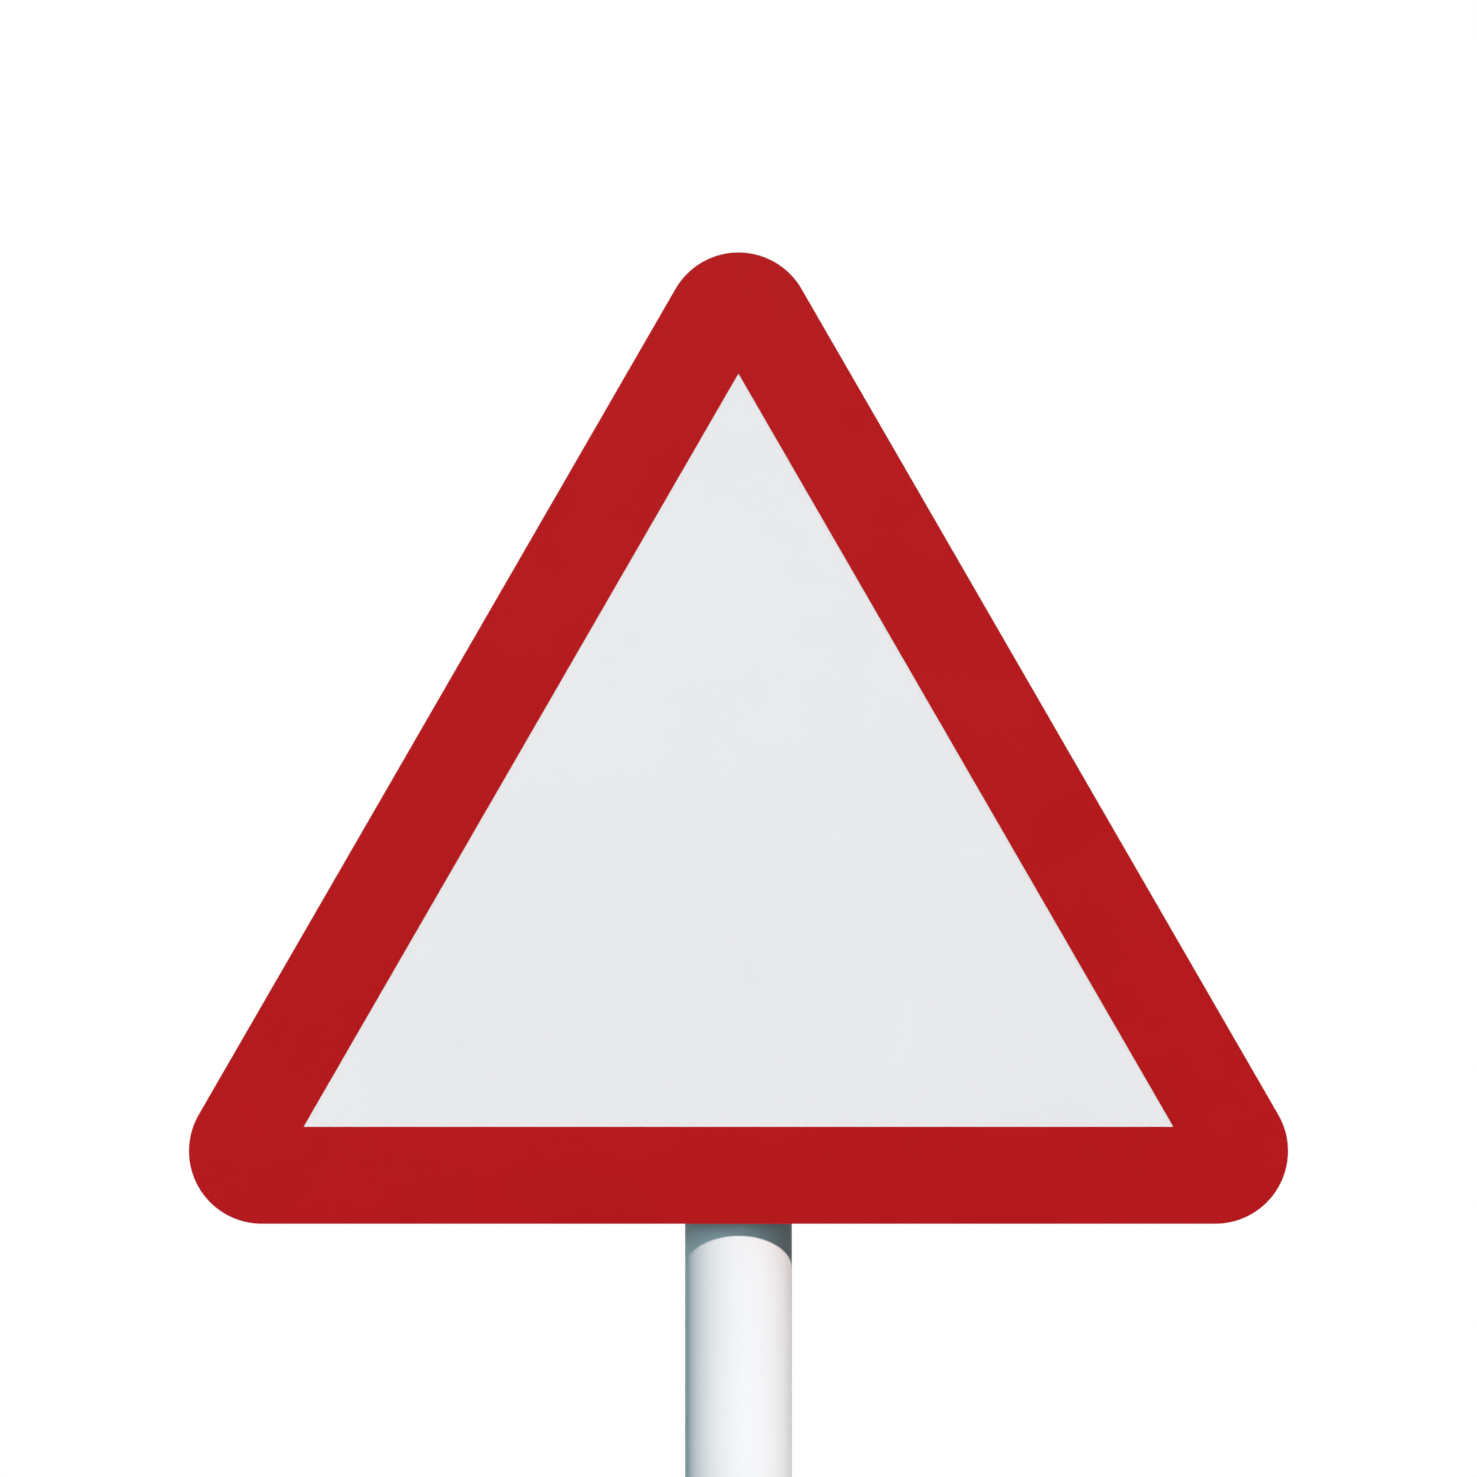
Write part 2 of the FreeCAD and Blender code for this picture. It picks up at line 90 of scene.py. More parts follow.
# Nodes: the Mix node's sockets for colours, and the span that holds most of a noise's values
MIX_FIRST = 6
MIX_SECOND = 7
MIX_RESULT = 2
NOISE_LOW = 0.3
NOISE_HIGH = 0.7
ONE_BOUNCE = 1.0

# Sign face
CORNER_RADIUS = 0.05625
BORDER_WIDTH = 0.075
PLATE_EDGE = 0.0004
SHEET_EDGE = 0.00008
SHEETING_GRAIN = 2200.0

# Post
POST_WALL = 0.0032
COATING = 0.0005
COATING_LIP = 0.0004
COATING_LIP_STEPS = 6
COATING_GLOSS_LOW = 0.52
COATING_GLOSS_HIGH = 0.62
COATING_SPECULAR = 0.1
COATING_SOFTNESS = 0.27
TUBE_END_CHAMFER = 0.0006

# Ground bar's hole, in a square patch of the wall's grid that reaches BAR_PATCH steps each way.
# The loops round it stand at these shares of the way from the patch's border to the hole.
BAR_HOLE_RADIUS = 0.007
BAR_HOLE_RISE = 0.1
BAR_PATCH = 4
BAR_LOOP_SHARES = (0.4, 0.75, 1.0)

# Post cap
CAP_WALL = 0.002
CAP_SHOULDER = 0.0038
CAP_FLAT_RADIUS = 0.024
CAP_CENTRE_RADIUS = 0.0003
CAP_EDGE_RADIUS = 0.0022
CAP_BREAK_RADIUS = 0.06
CAP_RIM_EDGE = 0.0005
CAP_EDGE_STEPS = 8
CAP_CLEARANCE = 0.00025
CAP_RIBS = 8
CAP_RIB_WIDTH = 0.0016
CAP_RIB_FLANK = CAP_CLEARANCE / 4
CAP_RIB_SETBACK = 0.0025
CAP_RIB_LEAD = 0.0012
CAP_SECTOR_STEPS = 12
GATE_RADIUS = 0.0016
GATE_DEPTH = 0.0004

# Post clips
CLIP_RADIUS = 0.04175
CLIP_THICKNESS = 0.003
CLIP_WIDTH = 0.03
CLIP_GAP = 0.0008
CLIP_BEND = 0.003
CLIP_CORNER = 0.006
CLIP_EDGE = 0.0003
CLIP_HOLE_RADIUS = 0.0045
CLIP_HOLE_MARGIN = 1.25 * CLIP_HOLE_RADIUS
CLIP_STEPS = 110
CLIP_CORNER_STEPS = 10
CLIP_HOLE_STEPS = 48

# The clip's pressed rib. Its flanks lean at 45 degrees, so half its crest is narrower on the strap's
# inner face by RIB_CORNER_SHIFT times the thickness. Its ends are RIB_END_SHARE of its width.
RIB_HEIGHT = 0.00238
RIB_WIDTH = 0.006
RIB_END_SHARE = 0.4
RIB_HALF_ANGLE = math.radians(62)
RIB_FADE_ANGLE = math.radians(13)
RIB_CORNER_SHIFT = math.tan(math.radians(22.5))

# The clip's strap laid flat, from the middle of its back: the arc, a leg, a bend and then the foot
CLIP_ARC_LENGTH = math.pi / 2 * (CLIP_RADIUS + CLIP_THICKNESS / 2)
CLIP_LEG = CLIP_RADIUS - CLIP_GAP - CLIP_THICKNESS - CLIP_BEND
CLIP_BEND_LENGTH = math.pi / 2 * (CLIP_BEND + CLIP_THICKNESS / 2)
CLIP_BEND_CENTRE = CLIP_RADIUS + CLIP_THICKNESS + CLIP_BEND
CLIP_FOOT_START = CLIP_ARC_LENGTH + CLIP_LEG + CLIP_BEND_LENGTH

# Rows of points across the strap, as shares of its half width, close together on the rib's flanks
CLIP_HALF_ROWS = (0.06, 0.12, 0.16, 0.2, 0.24, 0.28, 0.32, 0.36, 0.4, 0.58, 0.8)
CLIP_ROWS = (*(-share for share in reversed(CLIP_HALF_ROWS)), 0.0, *CLIP_HALF_ROWS)

# Fasteners, M8
THREAD_PITCH = 0.00125
THREAD_RADIUS = 0.00398
THREAD_ROOT = 0.00333
THREAD_STEPS = 40
TIP_RADIUS = 0.0031
WASHER_BORE = 0.0042
WASHER_EDGE = 0.00035
WASHER_EDGE_STEPS = 3
NUT_PLAY = 0.00005
NUT_SINK = 0.0005
HEAD_HEIGHT = 0.0053
HEX_LAND = 0.00615
HEX_SLOPE = math.tan(math.radians(30))

# One turn of the thread: each row's share of the pitch, and its radius
THREAD_SHAPE = ((0.0, THREAD_ROOT), (0.45, THREAD_RADIUS), (0.55, THREAD_RADIUS), (0.95, THREAD_ROOT))

# Meshes
TOUCHING = 0.000001
ROUND_STEPS = 96
STEP_ANGLE = 2 * math.pi / ROUND_STEPS
CORNER_STEPS = 48
INSIDE_TRIANGLES = 1


# Mesh helpers


def new_object(name, bm, material):
    """Turns a bmesh into an object of the scene."""
    mesh = bpy.data.meshes.new(name)
    bm.to_mesh(mesh)
    bm.free()
    mesh.materials.append(material)
    added = bpy.data.objects.new(name, mesh)
    bpy.context.scene.collection.objects.link(added)
    return added


def new_piece(name, bm, material, smooth_angle=30.0):
    """Turns a bmesh into a piece that rides with the sign. Edges sharper than the angle stay crisp."""
    bmesh.ops.recalc_face_normals(bm, faces=bm.faces)
    piece = new_object(name, bm, material)
    piece.data.shade_smooth()
    piece.data.set_sharp_from_angle(angle=math.radians(smooth_angle))
    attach(piece, "root")
    return piece


def stand_in(piece, node):
    """The piece is shown in place of a node, which is hidden."""
    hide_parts(node)


def rounded_path(corners, radii, steps):
    """A closed path through 2D corners, each rounded by its own radius with that many steps."""
    path = []
    for number, corner in enumerate(corners):
        radius = radii[number]
        if radius == 0:
            path.append(corner)
            continue
        before = (corners[number - 1] - corner).normalized()
        after = (corners[(number + 1) % len(corners)] - corner).normalized()
        half = before.angle(after) / 2
        centre = corner + (before + after).normalized() * radius / math.sin(half)
        start = corner + before * radius / math.tan(half) - centre
        sweep = start.angle_signed(corner + after * radius / math.tan(half) - centre)
        for step in range(steps + 1):
            turn = -sweep * step / steps
            path.append(centre + Vector((
                start.x * math.cos(turn) - start.y * math.sin(turn),
                start.x * math.sin(turn) + start.y * math.cos(turn),
            )))
    return path


def bridge(bm, first, second):
    """Quads between two closed loops of equally many vertices."""
    for number in range(len(first)):
        after = (number + 1) % len(first)
        bm.faces.new((first[number], first[after], second[after], second[number]))


def join_rings(bm, rings, closed=False):
    """Skins between rings of equally many points. An open stack is capped at both ends."""
    loops = [[bm.verts.new(point) for point in ring] for ring in rings]
    for low, high in zip(loops, loops[1:]):
        bridge(bm, low, high)
    if closed:
        bridge(bm, loops[-1], loops[0])
    else:
        bm.faces.new(loops[0])
        bm.faces.new(loops[-1])


def round_angles(steps):
    """The angles of that many even steps round a circle."""
    return [2 * math.pi * step / steps for step in range(steps)]


def post_point(radius, angle, height):
    """A point about the post's axis."""
    return Vector((radius * math.cos(angle), radius * math.sin(angle), height))


def post_ring(radius, height):
    """A round ring about the post's axis."""
    return [post_point(radius, angle, height) for angle in round_angles(ROUND_STEPS)]


# Material helpers


class Nodes:
    """Short calls that add to a node tree. An input is a number, a colour or another node's output."""

    def __init__(self, tree):
        self.tree = tree

    def node(self, kind, settings=None, inputs=None):
        """Adds a node with these settings and inputs."""
        node = self.tree.nodes.new(kind)
        for name, value in (settings or {}).items():
            setattr(node, name, value)
        for name, value in (inputs or {}).items():
            if isinstance(value, bpy.types.NodeSocket):
                self.tree.links.new(value, node.inputs[name])
            else:
                node.inputs[name].default_value = value
        return node

    def combine(self, operation, first, second):
        """Two numbers joined by a math operation."""
        return self.node("ShaderNodeMath", {"operation": operation}, {0: first, 1: second}).outputs[0]

    def vector(self, operation, inputs, output=0):
        """A vector math operation."""
        return self.node("ShaderNodeVectorMath", {"operation": operation}, inputs).outputs[output]

    def spread(self, pattern, low, high, start=NOISE_LOW, end=NOISE_HIGH):
        """Maps a pattern's values between start and end to the range from low to high."""
        inputs = {"Value": pattern, "From Min": start, "From Max": end, "To Min": low, "To Max": high}
        return self.node("ShaderNodeMapRange", None, inputs).outputs["Result"]

    def blend(self, share, first, second):
        """Goes from the first colour to the second by the share."""
        inputs = {0: share, MIX_FIRST: first, MIX_SECOND: second}
        return self.node("ShaderNodeMix", {"data_type": "RGBA"}, inputs).outputs[MIX_RESULT]

    def mix(self, share, first, second):
        """Goes from the first shader to the second by the share."""
        return self.node("ShaderNodeMixShader", None, {0: share, 1: first, 2: second}).outputs[0]

    def watched(self):
        """1 for a ray straight from the camera, a gloss or a clear surface, 0 after a soft bounce."""
        rays = self.node("ShaderNodeLightPath").outputs
        seen = rays["Is Camera Ray"]
        for name in ("Is Glossy Ray", "Is Transmission Ray"):
            seen = self.combine("MAXIMUM", seen, rays[name])
        direct = self.combine("LESS_THAN", rays["Diffuse Depth"], ONE_BOUNCE / 2)
        return self.combine("MULTIPLY", seen, direct)


class Surface(Nodes):
    """A procedural material in object space. The values are for its Principled shader's own sockets."""

    def __init__(self, name, **values):
        self.material = bpy.data.materials.new(name)
        self.material.use_nodes = True
        super().__init__(self.material.node_tree)
        self.shader = self.tree.nodes["Principled BSDF"]
        self.place = self.node("ShaderNodeTexCoord").outputs["Object"]
        for socket, value in values.items():
            self.shader.inputs[socket.replace("_", " ")].default_value = value

    def stretched(self, scale, place=None):
        """A place, or else the object's coordinates, multiplied along each axis."""
        inputs = {"Vector": place or self.place, "Scale": scale}
        return self.node("ShaderNodeMapping", None, inputs).outputs["Vector"]

    def noise(self, scale, detail=2.0, roughness=0.5, place=None, output="Fac"):
        """Soft clouds. A higher detail adds finer ones, and a higher roughness makes those stronger."""
        inputs = {
            "Vector": place or self.place,
            "Scale": scale,
            "Detail": detail,
            "Roughness": roughness,
        }
        return self.node("ShaderNodeTexNoise", None, inputs).outputs[output]

    def streaks(self, scales, detail):
        """Clouds with a scale of their own along each axis."""
        return self.noise(scale=1.0, detail=detail, place=self.stretched(scales))

    def cells(self, scale, output, place=None):
        """Cells like crystals: each one's random colour, or the distance from its middle."""
        inputs = {"Vector": place or self.place, "Scale": scale}
        return self.node("ShaderNodeTexVoronoi", None, inputs).outputs[output]

    def mottle(self, pattern, color, dark, light, start=NOISE_LOW, end=NOISE_HIGH):
        """A colour between a darker and a lighter one of its kind, as the pattern rises."""
        share = self.spread(pattern, low=0.0, high=1.0, start=start, end=end)
        return self.blend(share, shade(color, dark), shade(color, light))

    def stain(self, tone, pattern, color, factor, share):
        """The tone, with up to that share of the colour times the factor where the pattern is high."""
        return self.blend(self.spread(pattern, low=0.0, high=share), tone, shade(color, factor))

    def bump(self, height, distance, strength):
        """A normal that rises with the height."""
        inputs = {"Height": height, "Distance": distance, "Strength": strength}
        return self.node("ShaderNodeBump", None, inputs).outputs["Normal"]

    def feed(self, socket, output):
        """Links an output to the shader."""
        self.tree.links.new(output, self.shader.inputs[socket])

    def finish(self, color, roughness, normal):
        """Feeds the shader's colour, roughness and normal, and gives the material."""
        self.feed("Base Color", color)
        self.feed("Roughness", roughness)
        self.feed("Normal", normal)
        return self.material


def shade(color, factor=1.0):
    """A linear colour with full alpha, made lighter or darker by a factor."""
    return (color[0] * factor, color[1] * factor, color[2] * factor, 1.0)


# Materials


def make_white_sheeting():
    """Glass-bead reflective sheeting: a faint cloudiness, and a fine grain under a clear top."""
    white = (0.788, 0.79, 0.79)
    surface = Surface("white_sheeting", Specular_IOR_Level=0.2)
    clouds = surface.noise(scale=9.0, detail=4.0, roughness=0.55)
    grain = surface.noise(scale=SHEETING_GRAIN, detail=1.0)
    tone = surface.mottle(clouds, white, dark=0.99, light=1.01)
    tone = surface.stain(tone, grain, white, factor=0.8, share=0.06)
    rough = surface.spread(clouds, low=0.38, high=0.46)
    return surface.finish(tone, rough, surface.bump(grain, distance=0.00002, strength=0.4))


def make_red_film():
    """Transparent red film over the sheeting, which shows the sheeting's grain."""
    red = (0.434, 0.003, 0.005)
    surface = Surface("red_film", Specular_IOR_Level=0.12)
    clouds = surface.noise(scale=11.0, detail=3.0)
    grain = surface.noise(scale=SHEETING_GRAIN, detail=1.0)
    tone = surface.mottle(clouds, red, dark=0.975, light=1.025)
    tone = surface.stain(tone, grain, red, factor=0.7, share=0.08)
    rough = surface.spread(clouds, low=0.36, high=0.44)
    return surface.finish(tone, rough, surface.bump(grain, distance=0.00002, strength=0.4))


def make_rolled_aluminium():
    """Mill-finish plate: fine rolling lines along X, soft clouds and faint hairline scratches."""
    grey = (0.55, 0.56, 0.57)
    surface = Surface("plate_aluminium", Metallic=1.0)
    lines = surface.streaks((3.0, 900.0, 900.0), detail=3.0)
    hairs = surface.streaks((9.0, 1.0, 2600.0), detail=1.0)
    clouds = surface.noise(scale=5.0, detail=4.0, roughness=0.6)
    tone = surface.mottle(clouds, grey, dark=0.93, light=1.06)
    tone = surface.stain(tone, lines, grey, factor=0.86, share=0.3)
    rough = surface.spread(clouds, low=0.36, high=0.46)
    rough = surface.combine("ADD", rough, surface.spread(lines, low=0.0, high=0.08))
    polish = surface.spread(hairs, low=0.0, high=0.1, start=0.68, end=0.74)
    rough = surface.combine("SUBTRACT", rough, polish)
    return surface.finish(tone, rough, surface.bump(lines, distance=0.00002, strength=0.5))


def make_extruded_aluminium():
    """Extruded channel: die lines along X with a dull, even bloom."""
    grey = (0.66, 0.67, 0.68)
    surface = Surface("channel_aluminium", Metallic=1.0)
    lines = surface.streaks((1.5, 1600.0, 1600.0), detail=4.0)
    clouds = surface.noise(scale=24.0, detail=3.0)
    tone = surface.mottle(lines, grey, dark=0.9, light=1.05)
    tone = surface.stain(tone, clouds, grey, factor=0.85, share=0.25)
    rough = surface.spread(lines, low=0.24, high=0.38)
    return surface.finish(tone, rough, surface.bump(lines, distance=0.00004, strength=0.6))


def make_galvanised(name, cell_scale, brightness):
    """Hot-dip galvanised steel: zinc crystals, each with its own tone, gloss and feathered grain."""
    grey = shade((0.5, 0.515, 0.53), brightness)
    border_wobble = 0.12 / cell_scale
    turning_axis = (0.6, 0.5, 0.62)
    feather_stretch = (4.0, 0.5, 4.0)
    surface = Surface(name, Metallic=0.9)
    wobble = surface.noise(scale=cell_scale * 2.5, output="Color")
    shift = surface.vector("SCALE", {0: wobble, "Scale": border_wobble})
    bent = surface.vector("ADD", {0: surface.place, 1: shift})
    crystal = surface.cells(cell_scale, "Color", bent)
    parts = surface.node("ShaderNodeSeparateColor", None, {"Color": crystal}).outputs
    own_tone, own_turn, own_gloss = parts
    angle = surface.combine("MULTIPLY", own_turn, math.pi)
    turning = {"Vector": surface.place, "Angle": angle, "Axis": turning_axis}
    turned = surface.node("ShaderNodeVectorRotate", {"rotation_type": "AXIS_ANGLE"}, turning).outputs[0]
    feather_place = surface.stretched(feather_stretch, turned)
    feathers = surface.noise(scale=cell_scale * 4.0, detail=3.0, place=feather_place)
    clouds = surface.noise(scale=cell_scale * 0.3, detail=3.0)
    tone = surface.blend(own_tone, shade(grey, 0.86), shade(grey, 1.12))
    tone = surface.stain(tone, feathers, grey, factor=0.84, share=0.5)
    tone = surface.stain(tone, clouds, grey, factor=0.94, share=0.45)
    rough = surface.spread(own_gloss, low=0.33, high=0.47, start=0.0, end=1.0)
    rough = surface.combine("ADD", rough, surface.spread(feathers, low=0.0, high=0.08))
    skin = surface.noise(scale=900.0, detail=3.0)
    return surface.finish(tone, rough, surface.bump(skin, distance=0.00004, strength=0.6))


def make_zinc_plate():
    """Bright zinc plating with a faint straw tint where it is thickest."""
    bright = (0.57, 0.585, 0.6)
    straw = (0.55, 0.545, 0.52)
    surface = Surface("zinc_fasteners", Metallic=1.0)
    clouds = surface.noise(scale=260.0, detail=3.0)
    tone = surface.blend(surface.spread(clouds, low=0.0, high=1.0), shade(bright), shade(straw))
    rough = surface.spread(clouds, low=0.17, high=0.32)
    skin = surface.noise(scale=2500.0)
    return surface.finish(tone, rough, surface.bump(skin, distance=0.00001, strength=0.5))


def make_post_coating():
    """Satin white plastic coating with a soft dip-coat ripple."""
    white = (0.885, 0.896, 0.902)
    surface = Surface(
        "coated_post", Specular_IOR_Level=COATING_SPECULAR, Diffuse_Roughness=COATING_SOFTNESS
    )
    clouds = surface.noise(scale=14.0, detail=3.0)
    tone = surface.mottle(clouds, white, dark=0.985, light=1.01)
    rough = surface.spread(clouds, low=COATING_GLOSS_LOW, high=COATING_GLOSS_HIGH)
    ripple = surface.noise(scale=180.0)
    return surface.finish(tone, rough, surface.bump(ripple, distance=0.00006, strength=0.5))


def make_cap_plastic():
    """Moulded black plastic with a fine grain."""
    black = (0.028, 0.028, 0.03)
    surface = Surface("cap_plastic")
    grain = surface.noise(scale=1400.0)
    clouds = surface.noise(scale=30.0, detail=3.0)
    tone = surface.mottle(clouds, black, dark=0.85, light=1.25)
    rough = surface.spread(grain, low=0.42, high=0.6)
    return surface.finish(tone, rough, surface.bump(grain, distance=0.00008, strength=0.7))


def make_foam_tape():
    """Dense black foam with small pores, with painted shade darkening the middle of each pore."""
    black = (0.02, 0.02, 0.021)
    middle = 0.1
    wall = 0.6
    surface = Surface("bonding_tape")
    pores = surface.cells(1800.0, "Distance")
    # Painted shade: the black darkens towards each pore's sunken middle and lightens towards its walls.
    tone = surface.mottle(pores, black, dark=0.6, light=1.5, start=middle, end=wall)
    rough = surface.spread(pores, low=0.82, high=0.96, start=middle, end=wall)
    return surface.finish(tone, rough, surface.bump(pores, distance=0.0001, strength=0.8))


# Sign face


def triangle(inset):
    """The sharp corners of the sign's triangle as (x, z) points, moved inwards by the inset."""
    low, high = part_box("sign_plate")
    sharp_height = high.z - low.z + CORNER_RADIUS
    half = sharp_height / math.sqrt(3) - math.sqrt(3) * inset
    foot = low.z + inset
    apex = low.z + sharp_height - 2 * inset
    return [Vector((-half, foot)), Vector((half, foot)), Vector((0.0, apex))]


def sign_outline(inset=0.0):
    """The rounded triangle as (x, z) points, moved inwards by the inset."""
    return rounded_path(triangle(inset), [CORNER_RADIUS - inset] * 3, CORNER_STEPS)


def make_face_layer(name, node, material, edge):
    """A flat layer with the sign's outline and slightly broken edges."""
    low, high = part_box(node)
    levels = [(high.y, edge), (high.y - edge, 0.0), (low.y + edge, 0.0), (low.y, edge)]
    rings = []
    for depth, inset in levels:
        rings.append([Vector((point.x, depth, point.y)) for point in sign_outline(inset)])
    bm = bmesh.new()
    join_rings(bm, rings)
    return new_piece(name, bm, material, smooth_angle=20.0)


def make_border(material):
    """The red film ring, with sharp inner corners."""
    low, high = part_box("red_border_film")
    bm = bmesh.new()
    sides = []
    for depth in (low.y, high.y):
        loops = []
        edges = []
        for path in (sign_outline(), triangle(BORDER_WIDTH)):
            loop = [bm.verts.new((point.x, depth, point.y)) for point in path]
            edges += [bm.edges.new((loop[n - 1], loop[n])) for n in range(len(loop))]
            loops.append(loop)
        bmesh.ops.triangle_fill(bm, use_beauty=True, edges=edges)
        sides.append(loops)
    for front, back in zip(*sides):
        bridge(bm, front, back)
    return new_piece("border_film", bm, material, smooth_angle=20.0)


# Post


def patch_border():
    """Grid steps round the square patch that holds a hole, from its lower left corner."""
    along = range(-BAR_PATCH, BAR_PATCH)
    border = [(n, -BAR_PATCH) for n in along]
    border += [(BAR_PATCH, n) for n in along]
    border += [(-n, BAR_PATCH) for n in along]
    border += [(-BAR_PATCH, -n) for n in along]
    return border


def hole_loop(bm, radius, side_angle, level, row_height, share):
    """A loop part of the way from the patch's border to the round hole, on the cylinder."""
    loop = []
    for column, row in patch_border():
        turn = math.atan2(row, column)
        hole_angle = math.asin(BAR_HOLE_RADIUS * math.cos(turn) / radius)
        hole_rise = BAR_HOLE_RADIUS * math.sin(turn)
        border_angle = column * STEP_ANGLE
        border_rise = row * row_height
        angle = side_angle + border_angle + (hole_angle - border_angle) * share
        rise = border_rise + (hole_rise - border_rise) * share
        loop.append(bm.verts.new(post_point(radius, angle, level + rise)))
    return loop


def drilled_wall(bm, radius):
    """A cylinder wall with the bar's hole through it. Gives its two end rings and the two hole loops."""
    low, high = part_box("post")
    hole_level = low.z + BAR_HOLE_RISE
    row_height = STEP_ANGLE * (high.x - COATING)
    rows = [hole_level + row_height * n for n in range(-BAR_PATCH, BAR_PATCH + 1)]
    levels = [low.z + TUBE_END_CHAMFER, *rows, high.z]
    middle_row = levels.index(hole_level)
    grid = [[bm.verts.new(point) for point in post_ring(radius, level)] for level in levels]
    sides = (0, ROUND_STEPS // 2)
    for row in range(len(levels) - 1):
        for column in range(ROUND_STEPS):
            in_rows = 1 <= row <= 2 * BAR_PATCH
            in_patch = any((column - side + BAR_PATCH) % ROUND_STEPS < 2 * BAR_PATCH for side in sides)
            if not (in_rows and in_patch):
                after = (column + 1) % ROUND_STEPS
                lower, upper = grid[row], grid[row + 1]
                bm.faces.new((lower[column], lower[after], upper[after], upper[column]))
    holes = []
    for side in sides:
        border = []
        for column, row in patch_border():
            border.append(grid[middle_row + row][(side + column) % ROUND_STEPS])
        loops = [border]
        for share in BAR_LOOP_SHARES:
            loops.append(hole_loop(bm, radius, side * STEP_ANGLE, hole_level, row_height, share))
        for first, second in zip(loops, loops[1:]):
            bridge(bm, first, second)
        holes.append(loops[-1])
    return grid[0], grid[-1], holes


def make_tube(material):
    """The steel tube, with its cut ends and the ground bar's hole."""
    low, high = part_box("post")
    outer_radius = high.x - COATING
    inner_radius = outer_radius - POST_WALL
    bm = bmesh.new()
    outer_foot, outer_top, outer_holes = drilled_wall(bm, outer_radius)
    inner_foot, inner_top, inner_holes = drilled_wall(bm, inner_radius)
    outer_cut = [bm.verts.new(point) for point in post_ring(outer_radius - TUBE_END_CHAMFER, low.z)]
    inner_cut = [bm.verts.new(point) for point in post_ring(inner_radius + TUBE_END_CHAMFER, low.z)]
    bridge(bm, outer_cut, outer_foot)
    bridge(bm, outer_cut, inner_cut)
    bridge(bm, inner_cut, inner_foot)
    bridge(bm, outer_top, inner_top)
    for outer_hole, inner_hole in zip(outer_holes, inner_holes):
        bridge(bm, outer_hole, inner_hole)
    under_holes = [vert for vert in bm.verts if not vert.link_faces]
    bmesh.ops.delete(bm, geom=under_holes, context="VERTS")
    return new_piece("post_tube", bm, material, smooth_angle=25.0)


def make_coating(material):
    """The plastic skin from ground level up, with a rounded lower lip."""
    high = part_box("post")[1]
    radius = high.x - COATING
    corners = [
        Vector((radius, 0.0)),
        Vector((high.x, 0.0)),
        Vector((high.x, high.z)),
        Vector((radius, high.z)),
    ]
    profile = rounded_path(corners, [0.0, COATING_LIP, 0.0, 0.0], COATING_LIP_STEPS)
    bm = bmesh.new()
    join_rings(bm, [post_ring(point.x, point.y) for point in profile], closed=True)
    return new_piece("post_coating", bm, material)


def cap_ring(radius, height, lift):
    """A ring of the cap. Its bore stands in by the lift on the crush ribs, which have steep sides."""
    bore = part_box("post_cap")[1].x - CAP_WALL
    sector = 2 * math.pi / CAP_RIBS
    crest = CAP_RIB_WIDTH / 2 / bore
    foot = crest + CAP_RIB_FLANK / bore
    turns = [(-foot, 0.0), (-crest, lift), (crest, lift), (foot, 0.0)]
    for step in range(1, CAP_SECTOR_STEPS):
        turns.append((foot + (sector - 2 * foot) * step / CAP_SECTOR_STEPS, 0.0))
    points = []
    for rib in range(CAP_RIBS):
        for turn, inset in turns:
            points.append(post_point(radius - inset, rib * sector + turn, height))
    return points


def make_cap(material):
    """The push-over cap: a ribbed skirt, a soft shoulder, a shallow cone and a moulding gate's mark."""
    low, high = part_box("post_cap")
    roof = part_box("post")[1].z
    rim = high.x
    bore = rim - CAP_WALL
    rib_foot = low.z + CAP_RIB_SETBACK
    corners = [
        (CAP_CENTRE_RADIUS, roof, 0.0),
        (bore, roof, 0.0),
        (bore, rib_foot + CAP_RIB_LEAD, 0.0),
        (bore, rib_foot, 0.0),
        (bore, low.z, CAP_RIM_EDGE),
        (rim, low.z, CAP_RIM_EDGE),
        (rim, roof + CAP_SHOULDER, CAP_EDGE_RADIUS),
        (CAP_FLAT_RADIUS, high.z, CAP_BREAK_RADIUS),
        (GATE_RADIUS + GATE_DEPTH, high.z, 0.0),
        (GATE_RADIUS, high.z - GATE_DEPTH, 0.0),
        (CAP_CENTRE_RADIUS, high.z - GATE_DEPTH, 0.0),
    ]
    points = [Vector((x, z)) for x, z, _ in corners]
    profile = rounded_path(points, [radius for _, _, radius in corners], CAP_EDGE_STEPS)
    rings = []
    for point in profile:
        on_rib = abs(point.x - bore) < TOUCHING and point.y > rib_foot + TOUCHING
        rings.append(cap_ring(point.x, point.y, CAP_CLEARANCE if on_rib else 0.0))
    bm = bmesh.new()
    join_rings(bm, rings)
    return new_piece("cap", bm, material, smooth_angle=40.0)


# Post clips


def smooth(share):
    """Eases from 0 to 1."""
    share = min(max(share, 0.0), 1.0)
    return share * share * (3 - 2 * share)


def rib_lift(angle, across, depth):
    """How far the pressed rib lifts the strap there. It narrows and fades at its ends."""
    fade = smooth((RIB_HALF_ANGLE - angle) / RIB_FADE_ANGLE)
    crest = RIB_WIDTH / 2 - (CLIP_THICKNESS - depth) * RIB_CORNER_SHIFT
    from_crest = abs(across) - crest * (RIB_END_SHARE + (1 - RIB_END_SHARE) * fade)
    return RIB_HEIGHT * fade * smooth(1 - from_crest / RIB_HEIGHT)


